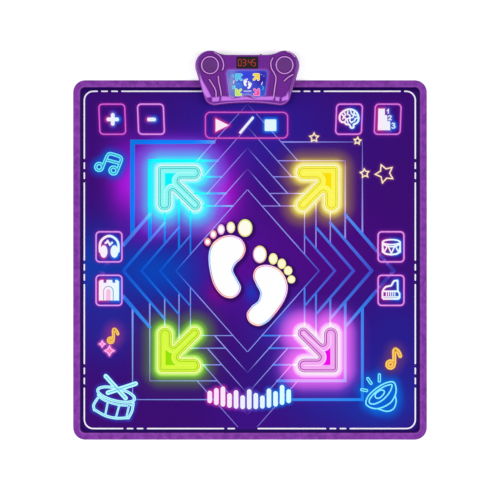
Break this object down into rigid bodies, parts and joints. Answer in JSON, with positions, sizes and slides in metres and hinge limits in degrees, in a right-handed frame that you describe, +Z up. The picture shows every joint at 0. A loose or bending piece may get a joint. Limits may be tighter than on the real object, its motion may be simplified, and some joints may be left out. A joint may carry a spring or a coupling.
{
  "type": "dance mat controller",
  "caption": "Soft square floor mat with light-up arrow pads and printed touch keys, and a purple console with display and speakers clamped on its far edge.",
  "frame": {"origin": "on the floor under the middle of the mat's base fabric", "axes": "+Z up, +Y towards the edge that carries the console, +X to the right of a player who faces the console"},
  "size_m": [0.915, 1.0056, 0.0424],
  "materials": {
    "printed_film": "satin printed film with a fine embossed grain",
    "binding": "woven polyester tape, stitched",
    "base_fabric": "non-slip fabric with moulded dots",
    "foam": "soft closed-cell foam sheet",
    "membrane": "clear film with printed tracks",
    "arrow_film_cyan": "clear film printed cyan, lit from behind",
    "arrow_film_yellow": "clear film printed yellow, lit from behind",
    "arrow_film_green": "clear film printed green, lit from behind",
    "arrow_film_pink": "clear film printed pink, lit from behind",
    "light_guide": "clear silicone sheet",
    "led_board": "white solder mask with a lamp",
    "console_shell": "glossy moulded purple plastic",
    "grille_plastic": "satin moulded plastic",
    "dark_window": "dark tinted acrylic",
    "display_plastic": "dark moulded display body",
    "picture_print": "glossy printed plate",
    "speaker_metal": "black painted steel basket",
    "circuit_board": "green solder mask",
    "contact_steel": "nickel-plated steel",
    "screw_steel": "zinc-plated steel",
    "battery_jacket": "printed steel jacket",
    "clamp_plastic": "black moulded plastic",
    "black_plastic": "black moulded plastic",
    "foot_rubber": "soft black rubber"
  },
  "bodies": {
    "mat": {"base_fabric": "base_fabric", "base_foam": "foam", "lower_membrane": "membrane", "membrane_spacer": "foam", "upper_membrane": "membrane", "core_foam": "foam", "top_cover": "printed_film", "edge_binding": "binding", "top_shell": "console_shell", "bottom_shell": "console_shell", "clamp_plate": "clamp_plastic", "membrane_tail": "membrane", "main_board": "circuit_board", "display_window": "dark_window", "display_module": "display_plastic", "picture_plate": "picture_print", "speaker_grille_left": "grille_plastic", "speaker_grille_right": "grille_plastic", "speaker_left": "speaker_metal", "speaker_right": "speaker_metal", "switch_body": "contact_steel", "case_screw_left": "screw_steel", "case_screw_right": "screw_steel", "contact_strip_near": "contact_steel", "contact_strip_far": "contact_steel", "rubber_foot_left": "foot_rubber", "rubber_foot_right": "foot_rubber", "battery_1": "battery_jacket", "clamp_screw_1": "screw_steel", "battery_2": "battery_jacket", "clamp_screw_2": "screw_steel", "battery_3": "battery_jacket", "clamp_screw_3": "screw_steel", "battery_4": "battery_jacket", "clamp_screw_4": "screw_steel", "led_board_up_left": "led_board", "led_board_up_right": "led_board", "led_board_down_left": "led_board", "led_board_down_right": "led_board"},
    "key_volume_up": {"key_volume_up": "printed_film"},
    "key_volume_down": {"key_volume_down": "printed_film"},
    "key_start_stop": {"key_start_stop": "printed_film"},
    "key_memory": {"key_memory": "printed_film"},
    "key_level": {"key_level": "printed_film"},
    "key_headphones": {"key_headphones": "printed_film"},
    "key_castle": {"key_castle": "printed_film"},
    "key_drum": {"key_drum": "printed_film"},
    "key_piano": {"key_piano": "printed_film"},
    "arrow_up_left": {"arrow_pad_up_left": "arrow_film_cyan", "light_guide_up_left": "light_guide"},
    "arrow_up_right": {"arrow_pad_up_right": "arrow_film_yellow", "light_guide_up_right": "light_guide"},
    "arrow_down_left": {"arrow_pad_down_left": "arrow_film_green", "light_guide_down_left": "light_guide"},
    "arrow_down_right": {"arrow_pad_down_right": "arrow_film_pink", "light_guide_down_right": "light_guide"},
    "battery_door": {"battery_door": "console_shell", "door_screw": "screw_steel"},
    "switch_knob": {"switch_knob": "black_plastic"}
  },
  "joints": [
    {"name": "key_volume_up_press", "type": "slide", "parent": "mat", "child": "key_volume_up", "axis": [0, 0, -1], "range_m": [0, 0.001], "stiffness_N_per_m": 4000},
    {"name": "key_volume_down_press", "type": "slide", "parent": "mat", "child": "key_volume_down", "axis": [0, 0, -1], "range_m": [0, 0.001], "stiffness_N_per_m": 4000},
    {"name": "key_start_stop_press", "type": "slide", "parent": "mat", "child": "key_start_stop", "axis": [0, 0, -1], "range_m": [0, 0.001], "stiffness_N_per_m": 4000},
    {"name": "key_memory_press", "type": "slide", "parent": "mat", "child": "key_memory", "axis": [0, 0, -1], "range_m": [0, 0.001], "stiffness_N_per_m": 4000},
    {"name": "key_level_press", "type": "slide", "parent": "mat", "child": "key_level", "axis": [0, 0, -1], "range_m": [0, 0.001], "stiffness_N_per_m": 4000},
    {"name": "key_headphones_press", "type": "slide", "parent": "mat", "child": "key_headphones", "axis": [0, 0, -1], "range_m": [0, 0.001], "stiffness_N_per_m": 4000},
    {"name": "key_castle_press", "type": "slide", "parent": "mat", "child": "key_castle", "axis": [0, 0, -1], "range_m": [0, 0.001], "stiffness_N_per_m": 4000},
    {"name": "key_drum_press", "type": "slide", "parent": "mat", "child": "key_drum", "axis": [0, 0, -1], "range_m": [0, 0.001], "stiffness_N_per_m": 4000},
    {"name": "key_piano_press", "type": "slide", "parent": "mat", "child": "key_piano", "axis": [0, 0, -1], "range_m": [0, 0.001], "stiffness_N_per_m": 4000},
    {"name": "arrow_up_left_press", "type": "slide", "parent": "mat", "child": "arrow_up_left", "axis": [0, 0, -1], "range_m": [0, 0.001], "stiffness_N_per_m": 6000},
    {"name": "arrow_up_right_press", "type": "slide", "parent": "mat", "child": "arrow_up_right", "axis": [0, 0, -1], "range_m": [0, 0.001], "stiffness_N_per_m": 6000},
    {"name": "arrow_down_left_press", "type": "slide", "parent": "mat", "child": "arrow_down_left", "axis": [0, 0, -1], "range_m": [0, 0.001], "stiffness_N_per_m": 6000},
    {"name": "arrow_down_right_press", "type": "slide", "parent": "mat", "child": "arrow_down_right", "axis": [0, 0, -1], "range_m": [0, 0.001], "stiffness_N_per_m": 6000},
    {"name": "battery_door_lift", "type": "slide", "parent": "mat", "child": "battery_door", "axis": [0, 0, -1], "range_m": [0, 0.012]},
    {"name": "power_switch_slide", "type": "slide", "parent": "mat", "child": "switch_knob", "axis": [1, 0, 0], "range_m": [0, 0.004]}
  ]
}
